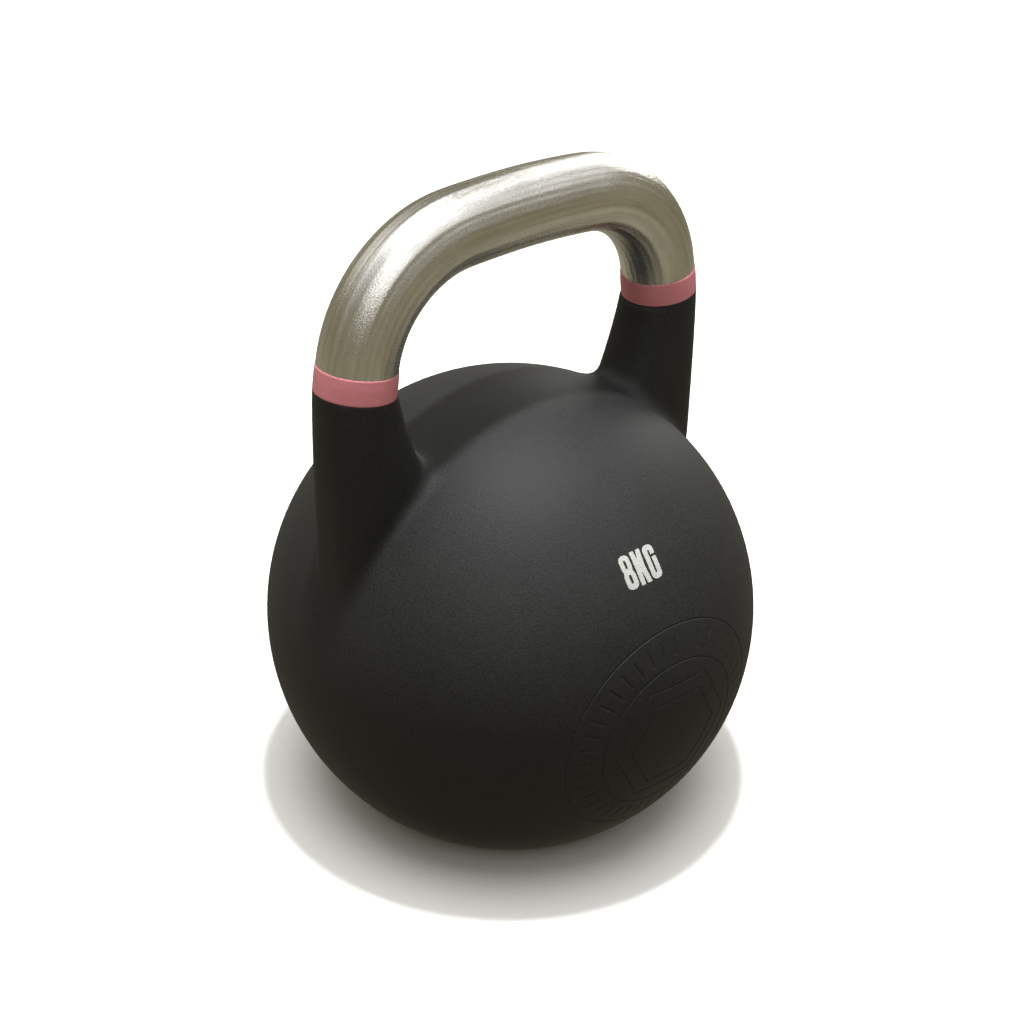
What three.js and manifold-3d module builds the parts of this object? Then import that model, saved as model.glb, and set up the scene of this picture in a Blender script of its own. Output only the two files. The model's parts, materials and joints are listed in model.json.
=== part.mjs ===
// Competition-style kettlebell, 8 kg. Millimetres, +Z up, origin on the floor under the ball's centre.
// The grip bar runs along X. The printed face looks along -Y. Outside size 210 x 210 x 280.
import * as THREE from 'three';
import Module from 'manifold-3d';
import { mergeVertices } from 'three/addons/utils/BufferGeometryUtils.js';
import { LoftGeometry } from 'three/addons/geometries/LoftGeometry.js';

const wasm = await Module();
wasm.setup();

// ---------- driving dimensions ----------
const BALL_R = 105;            // outside radius of the ball
const BALL_Z = 82.5;           // ball centre above the floor
const WALL = 4.4;              // wall of the cast ball
const BASE_R = 65.5;           // flat standing face, outer radius
const BASE_EDGE = 3;           // height of the rim round the standing face
const FLOOR_TOP = 17;          // top of the thick bottom of the casting
const OVERALL_H = 280;         // floor to the top of the grip

const TUBE_R = 15.8;           // grip tube, outside radius
const TUBE_BORE_R = 12.2;      // grip tube, inside radius
const CROWN_BEND_R = 420;      // very gentle rise of the grip bar
const CORNER_BEND_R = 51.5;    // bend between bar and leg
const LEG_X = 80.7;            // leg centre at the horn top
const LEG_LEAN = 7.8;          // degrees, legs spread downwards
const HORN_TOP_Z = 209.5;      // horn top where the leg is seated

const BAND_T = 0.3;            // colour band, how far it stands proud of the tube
const BAND_H = 10;             // colour band height
const BAND_GAP = 0.04;         // glue line between band and tube
const HORN_R = TUBE_R + BAND_T;
const HORN_ROOT_Z = BALL_Z + 20;   // lowest section of a horn, inside the ball's wall
const HORN_INNER_FLARE = 47;   // growth of the horn towards the middle
const HORN_OUTER_FLARE = -2.3; // growth of the horn away from the middle
const HORN_FLARE_POWER = 1.45; // above 1 the horn widens faster near the ball
const HORN_SQUARENESS = 1.6;   // a horn is round at its top and flat-sided at its root
const SPIGOT_R = TUBE_BORE_R - 0.15;
const SPIGOT_H = 14;
const SPIGOT_ROOT = -4;        // the spigot starts this far below the horn top, inside the horn
const SPIGOT_TAPER = 1;
const BORE_START = -2;         // cutting sweeps start below the horn top

const PLATE_R = 46;            // round cover in the standing face
const PLATE_T = 5;
const PLATE_Z = 2.2;           // cover's lower face above the floor
const GASKET_T = 1.2;
const OPENING_R = 37.5;        // opening the ballast goes in through
const RECESS_R = PLATE_R + 0.4;
const RECESS_TOP = PLATE_Z + PLATE_T + GASKET_T;
const SCREW_COUNT = 6;
const SCREW_PCD_R = 41.5;
const SCREW_R = 2.5;
const SCREW_HEAD_R = 4.6;
const SCREW_HEAD_H = 2.6;
const SCREW_TIP_Z = 15;

const STUD_R = 8;              // core stud that holds the ballast
const STUD_LOW_Z = 30;
const BOSS_R = 19;             // boss under the crown of the ball
const BOSS_LOW_Z = 168;
const STUD_TOP_Z = 181;
const HOLE_R = 8.3;            // clearance hole in everything on the stud
const DISC_R = 36.5;           // one ballast disc
const DISC_T = 6;
const DISC_COUNT = 4;
const DISC_LOW_Z = 60;
const WASHER_R = 20;
const WASHER_T = 3;
const WASHER_BEVEL = 0.4;
const DISC_BEVEL = 0.8;
const NUT_AF = 24;             // across flats
const NUT_T = 9;
const BUSH_R = 15;
const BUSH_T = 6;
const SPACER_WALL = 4;
const PLUG_R = 11;             // calibration plug in the middle of the cover
const PLUG_LOW_Z = 2.6;
const PLUG_TOP_Z = 12;
const PLUG_FLANGE_R = 15;
const PLUG_FLANGE_T = 2;
const PLUG_AF_R = 5.8;         // hexagonal socket, corner radius
const PLUG_AF_H = 5;
const SEAL_T = 1;
const SNUG = 0.05;             // gap between a part and the hole it sits in
const FAR = 20;                // well past anything a cutting tool has to cross

const EDGE = 0.8;              // bevel on the cover
const SCREW_SINK = 0.3;        // screw heads sit this far above the cover's face
const SOCKET_R = 1.7;
const SOCKET_H = 1.5;

const BALL_SEG = 64;           // sides round the ball
const TUBE_SEG = 28;           // sides round the tube
const ROUND_SEG = 28;          // sides round the inner pieces
const COVER_SEG = 40;          // sides round the cover and the ball's hollow
const SCREW_SEG = 16;          // sides round a screw

// ---------- materials ----------
function material(name, color, roughness, metalness) {
  const m = new THREE.MeshStandardMaterial({ color, roughness, metalness });
  m.name = name;
  return m;
}
const PAINT = material('powder_coat', 0x2b2b2b, 0.62, 0.0);
const SATIN = material('satin_steel', 0xb4ae9e, 0.34, 1.0);
const PINK = material('band_pink', 0xb0616e, 0.55, 0.0);
const COVER = material('zinc_plate', 0x8f9192, 0.45, 1.0);
const FIXING = material('zinc_fixing', 0x9a9a96, 0.4, 1.0);
const BALLAST = material('ballast_iron', 0x3c3a38, 0.7, 0.4);
const RUBBER = material('black_rubber', 0x151515, 0.85, 0.0);
const PLUG = material('brass_plug', 0xa88a4c, 0.4, 1.0);

// ---------- solids ----------
function solid(geometry) {
  let g = new THREE.BufferGeometry();
  g.setAttribute('position', geometry.attributes.position);
  g.setIndex(geometry.index);
  g = mergeVertices(g, 1e-5);
  const mesh = new wasm.Mesh({
    numProp: 3,
    vertProperties: new Float32Array(g.attributes.position.array),
    triVerts: new Uint32Array(g.index.array),
  });
  return new wasm.Manifold(mesh);
}

function toGeometry(manifold) {
  const m = manifold.getMesh();
  const g = new THREE.BufferGeometry();
  g.setAttribute('position', new THREE.BufferAttribute(new Float32Array(m.vertProperties), 3));
  g.setIndex(new THREE.BufferAttribute(new Uint32Array(m.triVerts), 1));
  g.computeVertexNormals();
  return g;
}

const group = new THREE.Group();
group.name = 'kettlebell';

function place(name, shape, mat) {
  const geometry = shape.isBufferGeometry ? toGeometry(solid(shape)) : toGeometry(shape);
  const mesh = new THREE.Mesh(geometry, mat);
  mesh.name = name;
  group.add(mesh);
  return mesh;
}

// Solid of revolution about Z from [radius, height] pairs that start and end on the axis.
function turned(pairs, segments = ROUND_SEG) {
  const points = pairs.map(([r, z]) => new THREE.Vector2(r, z));
  const g = new THREE.LatheGeometry(points, segments);
  g.rotateX(Math.PI / 2);
  return g;
}

// Ring about Z with a square section.
function ring(inner, outer, low, high, segments = ROUND_SEG) {
  return turned([[inner, low], [outer, low], [outer, high], [inner, high], [inner, low]], segments);
}

// Plain round bar along Z.
function bar(radius, low, high, segments = ROUND_SEG) {
  return turned([[0, low], [radius, low], [radius, high], [0, high]], segments);
}

// Ring with small bevels on all four edges.
function bevelledRing(inner, outer, low, high, bevel, segments = ROUND_SEG) {
  return turned([
    [inner + bevel, low],
    [outer - bevel, low],
    [outer, low + bevel],
    [outer, high - bevel],
    [outer - bevel, high],
    [inner + bevel, high],
    [inner, high - bevel],
    [inner, low + bevel],
    [inner + bevel, low],
  ], segments);
}

// ---------- the grip's centreline ----------
const lean = THREE.MathUtils.degToRad(LEG_LEAN);
const legTurn = Math.PI / 2 - lean;
const CROWN_Z = OVERALL_H - TUBE_R;

// Point on the right half after a turn of `a` on the crown and then a turn up to `t` in the corner.
function crownPoint(a) {
  return [CROWN_BEND_R * Math.sin(a), CROWN_Z - CROWN_BEND_R * (1 - Math.cos(a))];
}

function cornerPoint(a, t) {
  const [x, z] = crownPoint(a);
  const r = CORNER_BEND_R;
  return [
    x + r * (Math.sin(t) - Math.sin(a)),
    z - r * (Math.cos(a) - Math.cos(t)),
  ];
}

// Crown turn that brings the leg to LEG_X at the horn top.
function solveCrown() {
  let low = 0;
  let high = 0.3;
  for (let i = 0; i < 60; i += 1) {
    const mid = (low + high) / 2;
    const [x, z] = cornerPoint(mid, legTurn);
    const foot = x + (z - HORN_TOP_Z) * Math.tan(lean);
    if (foot < LEG_X) low = mid;
    else high = mid;
  }
  return (low + high) / 2;
}
const crownTurn = solveCrown();
const [legTopX, legTopZ] = cornerPoint(crownTurn, legTurn);
const LEG_LENGTH = (legTopZ - HORN_TOP_Z) / Math.cos(lean);

// Station on the right leg, `s` millimetres of centreline above the horn top (negative is below).
function legStation(s) {
  if (s <= LEG_LENGTH) {
    const d = s - LEG_LENGTH;
    return {
      x: legTopX - d * Math.sin(lean),
      z: legTopZ + d * Math.cos(lean),
      t: legTurn,
    };
  }
  const t = legTurn - (s - LEG_LENGTH) / CORNER_BEND_R;
  const [x, z] = cornerPoint(crownTurn, t);
  return { x, z, t };
}

function crownStation(a) {
  const [x, z] = crownPoint(a);
  return { x, z, t: a };
}

// Ring of points round a station. Section faces run from the right foot over the top to the left.
function stationRing(station, radius, side, segments = TUBE_SEG) {
  const out = [];
  for (let i = 0; i < segments; i += 1) {
    const a = (2 * Math.PI * i) / segments;
    const u = radius * Math.cos(a);
    const v = radius * Math.sin(a);
    const x = station.x + u * Math.sin(station.t);
    const z = station.z + u * Math.cos(station.t);
    out.push(new THREE.Vector3(side * x, v, z));
  }
  return side > 0 ? out : mirrorOrder(out);
}

// A mirrored ring walks the other way round, so its order is reversed from its first point.
function mirrorOrder(points) {
  return [points[0], ...points.slice(1).reverse()];
}

function loft(sections) {
  return new LoftGeometry(sections, { closed: true, capStart: true, capEnd: true });
}

// Solid loft that always faces out, whichever way its sections run.
function loftSolid(sections) {
  const m = solid(loft(sections));
  if (m.volume() > 0) return m;
  return solid(loft(sections.map(mirrorOrder)));
}

const LEG_STEPS = [0, BAND_H / 2, BAND_H];
const CORNER_STEPS = 11;
const CROWN_STEPS = 5;
const HORN_STEPS = 9;

function gripStations(startAt) {
  const right = [];
  LEG_STEPS.forEach((s, i) => right.push(legStation(i === 0 ? startAt : s)));
  const t0 = legStation(BAND_H).t;
  for (let i = 1; i <= CORNER_STEPS; i += 1) {
    const t = t0 + ((crownTurn - t0) * i) / CORNER_STEPS;
    const [x, z] = cornerPoint(crownTurn, t);
    right.push({ x, z, t });
  }
  for (let i = 1; i <= CROWN_STEPS; i += 1) {
    right.push(crownStation(crownTurn * (1 - i / CROWN_STEPS)));
  }
  const left = right.slice(0, -1).reverse().map((s) => ({ x: -s.x, z: s.z, t: -s.t }));
  return right.concat(left);
}

function sweep(stations, radius) {
  return loftSolid(stations.map((s) => stationRing(s, radius, 1)));
}

// ---------- grip tube ----------
const gripOuter = sweep(gripStations(0), TUBE_R);
const gripBore = sweep(gripStations(BORE_START), TUBE_BORE_R);
place('grip_handle', gripOuter.subtract(gripBore), SATIN);

// ---------- ball with its two horns ----------
// Arc of the ball from height `low` through the equator to the pole.
function ballArc(radius, low, stepsBelow, stepsAbove) {
  const start = Math.asin((low - BALL_Z) / radius);
  const pairs = [];
  for (let i = 0; i < stepsBelow; i += 1) {
    const a = start * (1 - i / stepsBelow);
    pairs.push([radius * Math.cos(a), BALL_Z + radius * Math.sin(a)]);
  }
  for (let i = 0; i <= stepsAbove; i += 1) {
    const a = (Math.PI / 2) * (i / stepsAbove);
    pairs.push([i === stepsAbove ? 0 : radius * Math.cos(a), BALL_Z + radius * Math.sin(a)]);
  }
  return pairs;
}

// Horizontal section of a horn at height z. It is a true circle at the horn top.
function hornSection(side, z) {
  const s = (HORN_TOP_Z - z) / (HORN_TOP_Z - HORN_ROOT_Z);
  const outer = LEG_X + HORN_R + HORN_OUTER_FLARE * s;
  const inner = LEG_X - HORN_R - HORN_INNER_FLARE * s ** HORN_FLARE_POWER;
  const half = (outer - inner) / 2;
  const middle = (outer + inner) / 2;
  const power = 2 + HORN_SQUARENESS * Math.min(1, HORN_SQUARENESS * s);
  const out = [];
  for (let i = 0; i < TUBE_SEG; i += 1) {
    const a = (2 * Math.PI * i) / TUBE_SEG;
    const u = Math.cos(a);
    const v = Math.sin(a);
    const k = (Math.abs(u) ** power + Math.abs(v) ** power) ** (-1 / power);
    out.push(new THREE.Vector3(side * (middle + half * u * k), HORN_R * v * k, z));
  }
  return side > 0 ? out : mirrorOrder(out);
}

function hornSolid(side) {
  const sections = [];
  for (let i = 0; i < HORN_STEPS; i += 1) {
    const k = 1 - i / HORN_STEPS;
    sections.push(hornSection(side, HORN_TOP_Z - (HORN_TOP_Z - HORN_ROOT_Z) * k));
  }
  sections.push(stationRing(legStation(0), HORN_R, side));
  return loftSolid(sections);
}

function spigotSolid(side) {
  const sections = [];
  for (const s of [SPIGOT_ROOT, BAND_H / 2, BAND_H]) {
    sections.push(stationRing(legStation(s), SPIGOT_R, side));
  }
  sections.push(stationRing(legStation(SPIGOT_H), SPIGOT_R - SPIGOT_TAPER, side));
  return loftSolid(sections);
}

const ballOutline = [[0, 0], [BASE_R, 0], ...ballArc(BALL_R, BASE_EDGE, 9, 17)];
const cavityOutline = [[0, FLOOR_TOP], ...ballArc(BALL_R - WALL, FLOOR_TOP, 6, 10)];
let shell = solid(turned(ballOutline, BALL_SEG));
shell = shell.add(hornSolid(1)).add(hornSolid(-1));
let cavity = solid(turned(cavityOutline, COVER_SEG));
const boss = solid(bar(BOSS_R, BOSS_LOW_Z, BALL_Z + BALL_R));
cavity = cavity.subtract(boss);
shell = shell.subtract(cavity);
shell = shell.add(spigotSolid(1)).add(spigotSolid(-1));
shell = shell.subtract(solid(bar(RECESS_R, -1, RECESS_TOP, COVER_SEG)));
shell = shell.subtract(solid(bar(OPENING_R, 1, FLOOR_TOP + 1, COVER_SEG)));
shell = shell.subtract(solid(bar(STUD_R + SNUG, BOSS_LOW_Z - 1, STUD_TOP_Z)));

function screwPlace(i) {
  const a = (2 * Math.PI * (i + 0.5)) / SCREW_COUNT;
  return [SCREW_PCD_R * Math.cos(a), SCREW_PCD_R * Math.sin(a)];
}

for (let i = 0; i < SCREW_COUNT; i += 1) {
  const [x, y] = screwPlace(i);
  const hole = bar(SCREW_R + SNUG, RECESS_TOP - 1, SCREW_TIP_Z, SCREW_SEG);
  hole.translate(x, y, 0);
  shell = shell.subtract(solid(hole));
}
place('ball_shell', shell, PAINT);

// ---------- colour bands ----------
const bandBore = sweep(gripStations(BORE_START), TUBE_R + BAND_GAP);
function bandSolid(side) {
  const outer = LEG_STEPS.map((s) => stationRing(legStation(s), HORN_R, side));
  return loftSolid(outer).subtract(bandBore);
}
place('left_colour_band', bandSolid(-1), PINK);
place('right_colour_band', bandSolid(1), PINK);

// ---------- cover in the standing face ----------
const coverHigh = PLATE_Z + PLATE_T;
const screwLow = PLATE_Z + SCREW_SINK;
let cover = solid(turned([
  [0, PLATE_Z],
  [PLATE_R - EDGE, PLATE_Z],
  [PLATE_R, PLATE_Z + EDGE],
  [PLATE_R, coverHigh],
  [0, coverHigh],
], COVER_SEG));
const flangeTop = PLUG_LOW_Z + PLUG_FLANGE_T;
cover = cover.subtract(solid(bar(PLUG_R + SNUG, 0, FAR)));
cover = cover.subtract(solid(bar(PLUG_FLANGE_R + SNUG, 0, flangeTop + SEAL_T)));
for (let i = 0; i < SCREW_COUNT; i += 1) {
  const [x, y] = screwPlace(i);
  const sink = turned([
    [0, 0],
    [SCREW_HEAD_R + SNUG, 0],
    [SCREW_HEAD_R + SNUG, screwLow],
    [SCREW_R + SNUG, screwLow + SCREW_HEAD_H],
    [SCREW_R + SNUG, FAR],
    [0, FAR],
  ], SCREW_SEG);
  sink.translate(x, y, 0);
  cover = cover.subtract(solid(sink));
}
place('base_plate', cover, COVER);

let gasket = solid(ring(OPENING_R, PLATE_R, coverHigh, RECESS_TOP, COVER_SEG));
for (let i = 0; i < SCREW_COUNT; i += 1) {
  const [x, y] = screwPlace(i);
  const hole = bar(SCREW_R + SNUG, 0, FAR, SCREW_SEG);
  hole.translate(x, y, 0);
  gasket = gasket.subtract(solid(hole));
}
place('base_gasket', gasket, RUBBER);

// Countersunk screw with a hexagonal socket.
function screwSolid() {
  const tip = SCREW_TIP_Z - 0.3;
  const body = solid(turned([
    [0, screwLow],
    [SCREW_HEAD_R, screwLow],
    [SCREW_R, screwLow + SCREW_HEAD_H],
    [SCREW_R, tip - 0.7],
    [SCREW_R - 0.7, tip],
    [0, tip],
  ], SCREW_SEG));
  const socket = bar(SOCKET_R, screwLow - 1, screwLow + SOCKET_H, 6);
  return body.subtract(solid(socket));
}
for (let i = 0; i < SCREW_COUNT; i += 1) {
  const [x, y] = screwPlace(i);
  place(`base_screw_${i + 1}`, screwSolid().translate([x, y, 0]), FIXING);
}

// ---------- calibration plug ----------
const plugBody = solid(turned([
  [0, PLUG_LOW_Z],
  [PLUG_FLANGE_R - 0.5, PLUG_LOW_Z],
  [PLUG_FLANGE_R, PLUG_LOW_Z + 0.5],
  [PLUG_FLANGE_R, flangeTop],
  [PLUG_R, flangeTop],
  [PLUG_R, PLUG_TOP_Z - 1],
  [PLUG_R - 1, PLUG_TOP_Z],
  [0, PLUG_TOP_Z],
]));
const plugSocket = solid(bar(PLUG_AF_R, PLUG_LOW_Z - 1, PLUG_LOW_Z + PLUG_AF_H, 6));
place('calibration_plug', plugBody.subtract(plugSocket), PLUG);
place('plug_seal', ring(PLUG_R + SNUG, PLUG_FLANGE_R, flangeTop, flangeTop + SEAL_T), RUBBER);

// ---------- ballast on its stud ----------
const discTop = DISC_LOW_Z + DISC_COUNT * DISC_T;
const upperWasherTop = discTop + WASHER_T;
const bushLow = BOSS_LOW_Z - BUSH_T;
place('core_stud', turned([
  [0, STUD_LOW_Z],
  [STUD_R - 1, STUD_LOW_Z],
  [STUD_R, STUD_LOW_Z + 1],
  [STUD_R, STUD_TOP_Z],
  [0, STUD_TOP_Z],
]), FIXING);
place('crown_bush', ring(HOLE_R, BUSH_R, bushLow, BOSS_LOW_Z), RUBBER);
place('spacer_tube', ring(HOLE_R, HOLE_R + SPACER_WALL, upperWasherTop, bushLow), FIXING);
place('upper_washer', bevelledRing(HOLE_R, WASHER_R, discTop, upperWasherTop, WASHER_BEVEL), FIXING);
for (let i = 0; i < DISC_COUNT; i += 1) {
  const low = DISC_LOW_Z + i * DISC_T;
  place(`ballast_disc_${i + 1}`, bevelledRing(HOLE_R, DISC_R, low, low + DISC_T, DISC_BEVEL), BALLAST);
}
const lowerWasherLow = DISC_LOW_Z - WASHER_T;
place('lower_washer', bevelledRing(HOLE_R, WASHER_R, lowerWasherLow, DISC_LOW_Z, WASHER_BEVEL), FIXING);

function nutSolid(low) {
  const hex = solid(bar(NUT_AF / Math.sqrt(3), low, low + NUT_T, 6));
  const cone = solid(turned([
    [0, low - SNUG],
    [NUT_AF / 2, low - SNUG],
    [NUT_AF / 2 + 2, low + 1.2],
    [NUT_AF / 2 + 2, low + NUT_T + 1],
    [0, low + NUT_T + 1],
  ]));
  const hole = solid(bar(STUD_R + SNUG, low - 1, low + NUT_T + 1));
  return hex.intersect(cone).subtract(hole);
}
place('clamp_nut', nutSolid(lowerWasherLow - NUT_T), FIXING);
place('lock_nut', nutSolid(lowerWasherLow - 2 * NUT_T), FIXING);

export default group;
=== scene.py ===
# The looks of the kettlebell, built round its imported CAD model.
# Shapes are worked out in millimetres and made in metres. The bar runs along X, the print faces -Y.
import json
import math

import bmesh
import bpy
import numpy as np
from mathutils import Matrix, Vector, geometry


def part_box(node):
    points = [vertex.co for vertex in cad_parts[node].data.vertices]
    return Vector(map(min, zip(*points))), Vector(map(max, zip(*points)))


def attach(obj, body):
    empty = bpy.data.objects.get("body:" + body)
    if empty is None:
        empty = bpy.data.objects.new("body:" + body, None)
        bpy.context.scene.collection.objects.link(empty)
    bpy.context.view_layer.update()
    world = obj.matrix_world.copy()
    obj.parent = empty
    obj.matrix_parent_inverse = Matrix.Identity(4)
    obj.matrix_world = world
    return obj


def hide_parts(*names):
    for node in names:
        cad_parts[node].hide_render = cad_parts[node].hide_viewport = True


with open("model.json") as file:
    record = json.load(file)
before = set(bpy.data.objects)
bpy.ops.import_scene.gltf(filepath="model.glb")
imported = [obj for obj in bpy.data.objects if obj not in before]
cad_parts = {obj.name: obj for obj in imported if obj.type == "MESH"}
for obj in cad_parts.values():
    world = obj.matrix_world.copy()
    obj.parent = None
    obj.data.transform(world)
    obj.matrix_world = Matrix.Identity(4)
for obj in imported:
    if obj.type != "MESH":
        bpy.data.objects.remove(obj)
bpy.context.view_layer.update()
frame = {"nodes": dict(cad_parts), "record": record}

MM = 0.001

# ---------- driving dimensions, in millimetres, as in the CAD model ----------
BALL_LOW, BALL_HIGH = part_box("ball_shell")
BALL_R = (BALL_HIGH[0] - BALL_LOW[0]) / 2 / MM
GRIP_HIGH_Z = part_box("grip_handle")[1][2] / MM
BALL_Z = 82.5
WALL = 4.4
TUBE_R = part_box("grip_handle")[1][1] / MM
TUBE_BORE_R = 12.2
CROWN_BEND_R = 420.0
CORNER_BEND_R = 51.5
LEG_X = 80.7
LEAN = math.radians(7.8)
HORN_TOP_Z = 209.5
BAND_T = 0.3
BAND_H = 10.0
BAND_GAP = 0.04
HORN_R = TUBE_R + BAND_T
HORN_ROOT_Z = BALL_Z + 20.0
HORN_INNER_FLARE = 47.0
HORN_OUTER_FLARE = -2.3
HORN_FLARE_POWER = 1.45
HORN_SQUARENESS = 1.6
SPIGOT_R = TUBE_BORE_R - 0.15
SPIGOT_H = 14.0
SPIGOT_TAPER = 1.0
FLOOR_TOP = 17.0
OPENING_R = 37.5
RECESS_R = 46.4
RECESS_TOP = 8.4
BOSS_R = 19.0
BOSS_LOW_Z = 168.0
STUD_HOLE_R = 8.04
STUD_HOLE_TOP = 181.0

# ---------- looks ----------
NET_STEP = 2.0     # cell of the ball's surface net
BLEND_INNER = 11.0                        # softness of the horn root between the horns
BLEND_SIDE = 5.0                          # along its flat sides
BLEND_LOW = 2.5                           # and at its tip on the side of the ball
BLEND_RISE = 70.0                         # height over which the first two come in
BLEND_INNER_FROM = 0.4                    # share of a horn's half width that BLEND_INNER leaves alone
BARE_BALL_Z = BALL_Z + 10.0               # below this the skin is the bare ball
BASE_CUT_Z = 8.0
RIM = 0.6                                 # the last of each horn, made ring by ring
ROUNDEL_AZ = math.radians(-1.4)           # where the roundel sits on the ball
ROUNDEL_EL = math.radians(-5.9)
ROUNDEL_EDGE = 53.0                       # arc lengths from its middle
ROUNDEL_OUTER = 50.5
ROUNDEL_INNER = 35.0
TICK_LOW, TICK_HIGH = 39.0, 46.0
TICKS = 40
GROOVE_HALF = 0.55
GROOVE_DEPTH = 0.3
PRINT_AZ = math.radians(-5.6)
PRINT_EL = math.radians(36.1)
PRINT_TURN = math.radians(4.5)            # the stencil was laid on a little askew


def link(name, vertices, faces, smooth=True):
    """A mesh object from millimetre points."""
    mesh = bpy.data.meshes.new(name)
    mesh.from_pydata([tuple(v) for v in np.asarray(vertices, float) * MM], [], faces)
    mesh.update()
    if smooth:
        mesh.polygons.foreach_set("use_smooth", [True] * len(mesh.polygons))
    obj = bpy.data.objects.new(name, mesh)
    bpy.context.scene.collection.objects.link(obj)
    return obj


def face_out(obj):
    bm = bmesh.new()
    bm.from_mesh(obj.data)
    bmesh.ops.recalc_face_normals(bm, faces=bm.faces)
    bm.to_mesh(obj.data)
    bm.free()


# ---------- the grip's centreline ----------
CROWN_Z = GRIP_HIGH_Z - TUBE_R
LEG_TURN = math.pi / 2 - LEAN


def crown_point(a):
    """(x, z) on the bar's wide bend, at the turn a from its middle."""
    return CROWN_BEND_R * math.sin(a), CROWN_Z - CROWN_BEND_R * (1 - math.cos(a))


def corner_point(a, t):
    """(x, z) in the corner bend that begins at the turn a, where it has come round to t."""
    x, z = crown_point(a)
    across = CORNER_BEND_R * (math.sin(t) - math.sin(a))
    down = CORNER_BEND_R * (math.cos(a) - math.cos(t))
    return x + across, z - down


def solve_crown():
    """The turn at which the corner begins, so that the leg comes down at LEG_X."""
    low, high = 0.0, 0.3
    for _ in range(60):
        mid = (low + high) / 2
        x, z = corner_point(mid, LEG_TURN)
        if x + (z - HORN_TOP_Z) * math.tan(LEAN) < LEG_X:
            low = mid
        else:
            high = mid
    return (low + high) / 2


CROWN_TURN = solve_crown()
LEG_TOP_X, LEG_TOP_Z = corner_point(CROWN_TURN, LEG_TURN)
LEG_LENGTH = (LEG_TOP_Z - HORN_TOP_Z) / math.cos(LEAN)
CORNER_LENGTH = (LEG_TURN - CROWN_TURN) * CORNER_BEND_R
CROWN_LENGTH = CROWN_TURN * CROWN_BEND_R
HALF_LENGTH = LEG_LENGTH + CORNER_LENGTH + CROWN_LENGTH


def station(s):
    """(x, z, turn) on the right half, s millimetres of centreline above the horn top."""
    if s <= LEG_LENGTH:
        d = s - LEG_LENGTH
        return LEG_TOP_X - d * math.sin(LEAN), LEG_TOP_Z + d * math.cos(LEAN), LEG_TURN
    if s <= LEG_LENGTH + CORNER_LENGTH:
        t = LEG_TURN - (s - LEG_LENGTH) / CORNER_BEND_R
        x, z = corner_point(CROWN_TURN, t)
        return x, z, t
    a = (HALF_LENGTH - s) / CROWN_BEND_R
    x, z = crown_point(a)
    return x, z, a


def any_station(s):
    """As station, for the whole grip: s runs from the right foot over the crown to the left foot."""
    if s <= HALF_LENGTH:
        return station(s)
    x, z, t = station(2 * HALF_LENGTH - s)
    return -x, z, -t


def ring_at(where, radius, count):
    """Points round the centreline. The first is on the outside of the bend."""
    x, z, t = where
    a = np.linspace(0, 2 * math.pi, count, endpoint=False)
    u, v = radius * np.cos(a), radius * np.sin(a)
    return np.stack([x + u * math.sin(t), v, z + u * math.cos(t)], axis=1)


def skin(rings):
    """Quads between rings of equal length that follow each other, the last joined to the first."""
    count = len(rings[0])
    faces = []
    for i in range(len(rings)):
        a, b = i * count, ((i + 1) % len(rings)) * count
        for j in range(count):
            k = (j + 1) % count
            faces.append((a + j, a + k, b + k, b + j))
    return np.concatenate(rings), faces


# ---------- the ball and horns as one smooth surface ----------
def smooth_min(a, b, k):
    """The smaller of two distances, rounded off where they are within k of each other."""
    h = np.clip(0.5 + 0.5 * (b - a) / k, 0, 1)
    return b + (a - b) * h - k * h * (1 - h)


def horn_section(s):
    """Middle, half width and power of a horn's section, s from 0 at its top to 1 at its root."""
    outer = LEG_X + HORN_R + HORN_OUTER_FLARE * s
    inner = LEG_X - HORN_R - HORN_INNER_FLARE * s ** HORN_FLARE_POWER
    power = 2 + HORN_SQUARENESS * np.minimum(1, HORN_SQUARENESS * s)
    return (outer + inner) / 2, (outer - inner) / 2, power


def casting(p):
    """Roughly the distance from the skin of ball and horns, negative inside. The horns run on up."""
    x, y, z = np.abs(p[:, 0]), p[:, 1], p[:, 2]
    ball = np.sqrt(x ** 2 + y ** 2 + (z - BALL_Z) ** 2) - BALL_R
    s = np.clip((HORN_TOP_Z - z) / (HORN_TOP_Z - HORN_ROOT_Z), 0, 1)
    middle, half, power = horn_section(s)
    u, v = np.abs(x - middle) / half + 1e-6, np.abs(y) / HORN_R + 1e-6
    k = (u ** power + v ** power) ** (1 / power)
    slope = np.hypot((u / k) ** (power - 1) / half, (v / k) ** (power - 1) / HORN_R)
    horn = (k - 1) / slope
    high = np.clip((z - HORN_ROOT_Z) / BLEND_RISE, 0, 1)
    inward = np.clip((middle - x) / half - BLEND_INNER_FROM, 0, 1) * high
    blend = BLEND_LOW + (BLEND_SIDE - BLEND_LOW) * high + (BLEND_INNER - BLEND_SIDE) * inward
    joined = smooth_min(ball, horn, blend)
    return np.where(z < BARE_BALL_Z, ball, joined)


def gradient(field, p, step=0.05):
    out = np.empty_like(p)
    for axis in range(3):
        d = np.zeros(3)
        d[axis] = step
        out[:, axis] = (field(p + d) - field(p - d)) / (2 * step)
    return out


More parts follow.
